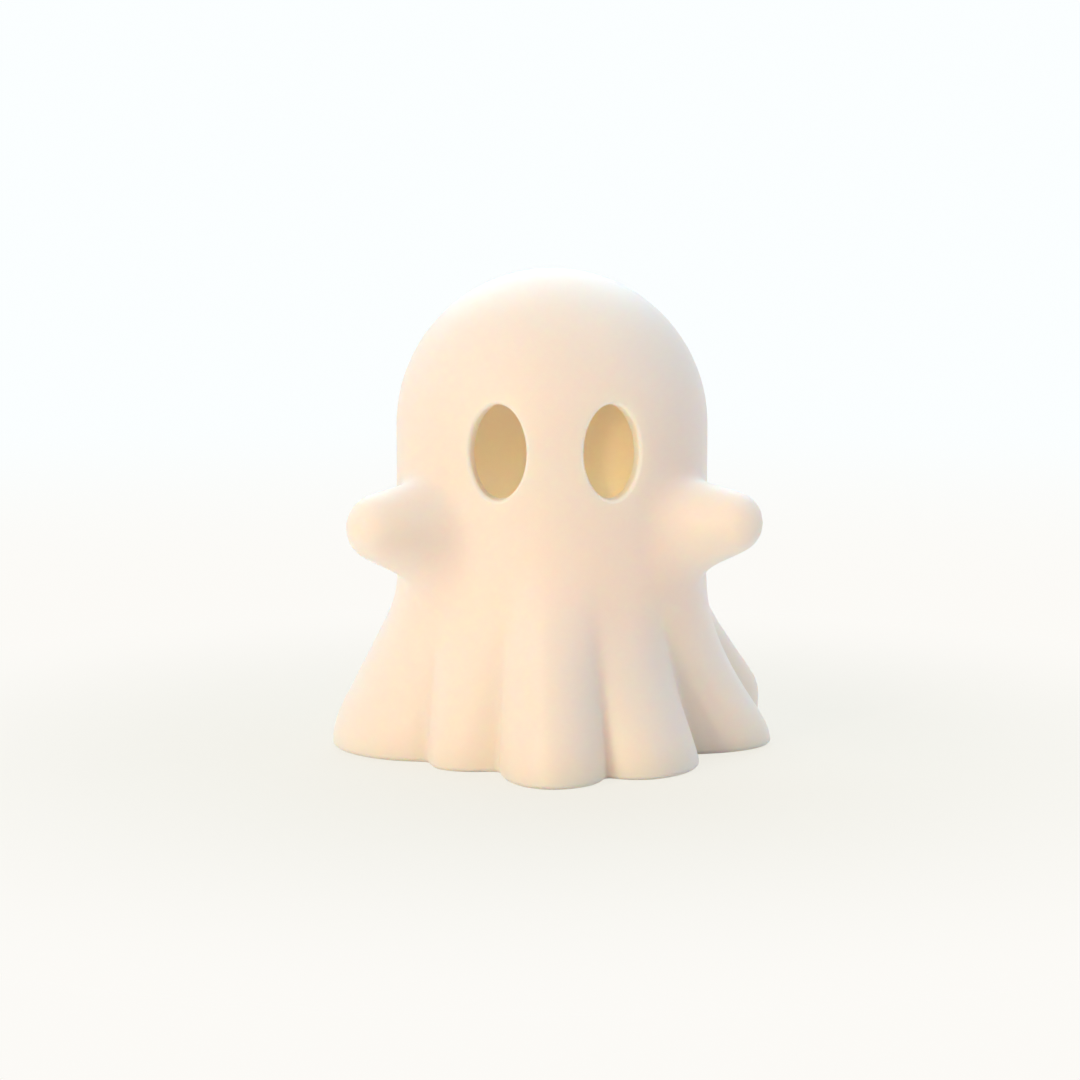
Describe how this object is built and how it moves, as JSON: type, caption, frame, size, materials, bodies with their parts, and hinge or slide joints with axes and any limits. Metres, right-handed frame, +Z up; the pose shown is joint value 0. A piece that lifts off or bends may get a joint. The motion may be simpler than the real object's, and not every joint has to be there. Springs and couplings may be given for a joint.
{
  "type": "ghost tealight holder",
  "caption": "Hollow ghost figure with oval eyes, stub arms and a draped skirt, open below, standing over a battery tealight that lights its eyes.",
  "frame": {"origin": "on the table, in the middle of the ghost's footprint and on the axis of its bore", "axes": "+Z up, -Y the way the ghost faces, +X towards the ghost's left hand"},
  "size_m": [0.0741, 0.0762, 0.08],
  "materials": {
    "printed_plastic": "warm white printed plastic, matte, with faint layer lines",
    "cup_plastic": "white moulded plastic, satin",
    "flame_plastic": "translucent warm plastic, smooth",
    "led_epoxy": "clear tinted epoxy, glossy",
    "tinned_wire": "tinned steel wire",
    "cell_steel": "nickel plated steel, fine turning marks",
    "spring_bronze": "spring bronze strip",
    "switch_plastic": "black moulded plastic"
  },
  "bodies": {
    "tealight": {"tealight_cup": "cup_plastic", "flame_bulb": "flame_plastic", "led": "led_epoxy", "anode_lead": "tinned_wire", "cathode_lead": "tinned_wire", "base_plate": "cup_plastic", "coin_cell": "cell_steel", "positive_contact": "spring_bronze", "negative_contact": "spring_bronze"},
    "ghost": {"ghost_shell": "printed_plastic"},
    "switch": {"switch_slider": "switch_plastic", "switch_wiper": "spring_bronze"},
    "battery_door": {"battery_door": "cup_plastic"}
  },
  "joints": [
    {"name": "ghost_lift", "type": "slide", "parent": "tealight", "child": "ghost", "axis": [0, 0, 1], "range_m": [0, 0.06]},
    {"name": "switch_slide", "type": "slide", "parent": "tealight", "child": "switch", "axis": [1, 0, 0], "range_m": [0, 0.003]},
    {"name": "battery_door_hinge", "type": "hinge", "parent": "tealight", "child": "battery_door", "pos_m": [0, 0.0149, 0.0015], "axis": [1, 0, 0], "range_deg": [0, 100]}
  ]
}
